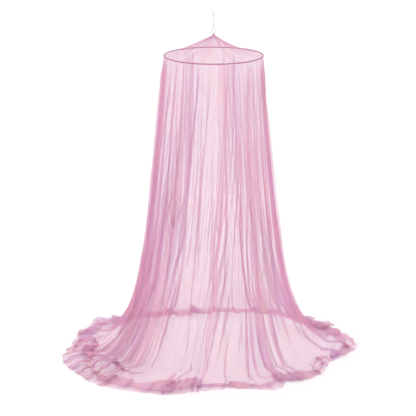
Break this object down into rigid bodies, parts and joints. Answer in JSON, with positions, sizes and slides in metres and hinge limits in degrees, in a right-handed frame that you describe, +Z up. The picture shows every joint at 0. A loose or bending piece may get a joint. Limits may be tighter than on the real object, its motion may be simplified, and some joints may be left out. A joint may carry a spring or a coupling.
{
  "type": "mosquito net canopy with hoop",
  "caption": "Round hanging net canopy: a hoop spreads a tent roof and a long folded skirt, lapped at the front, whose hem pools on the floor.",
  "frame": {"origin": "where a ceiling hook bears in the top loop, on the hoop's axis, 2.172 m above the floor that the hem lies on", "axes": "+Z up along the hoop's axis, -Y the front with the lapped edges, +X to the right of someone facing the front"},
  "size_m": [1.8746, 1.4913, 2.1739],
  "materials": {
    "net": "sheer pink polyester mosquito net",
    "casing_cloth": "woven pink polyester tape",
    "hoop_rod": "smooth pale plastic rod",
    "cord": "twisted pale cord"
  },
  "bodies": {
    "root": {"hoop": "hoop_rod", "hoop_casing": "casing_cloth", "roof_net": "net", "wall_net": "net", "apex_binding": "casing_cloth", "lower_loop": "cord", "lower_knot": "cord", "hanging_cord": "cord", "upper_knot": "cord", "upper_loop": "cord"}
  },
  "joints": []
}
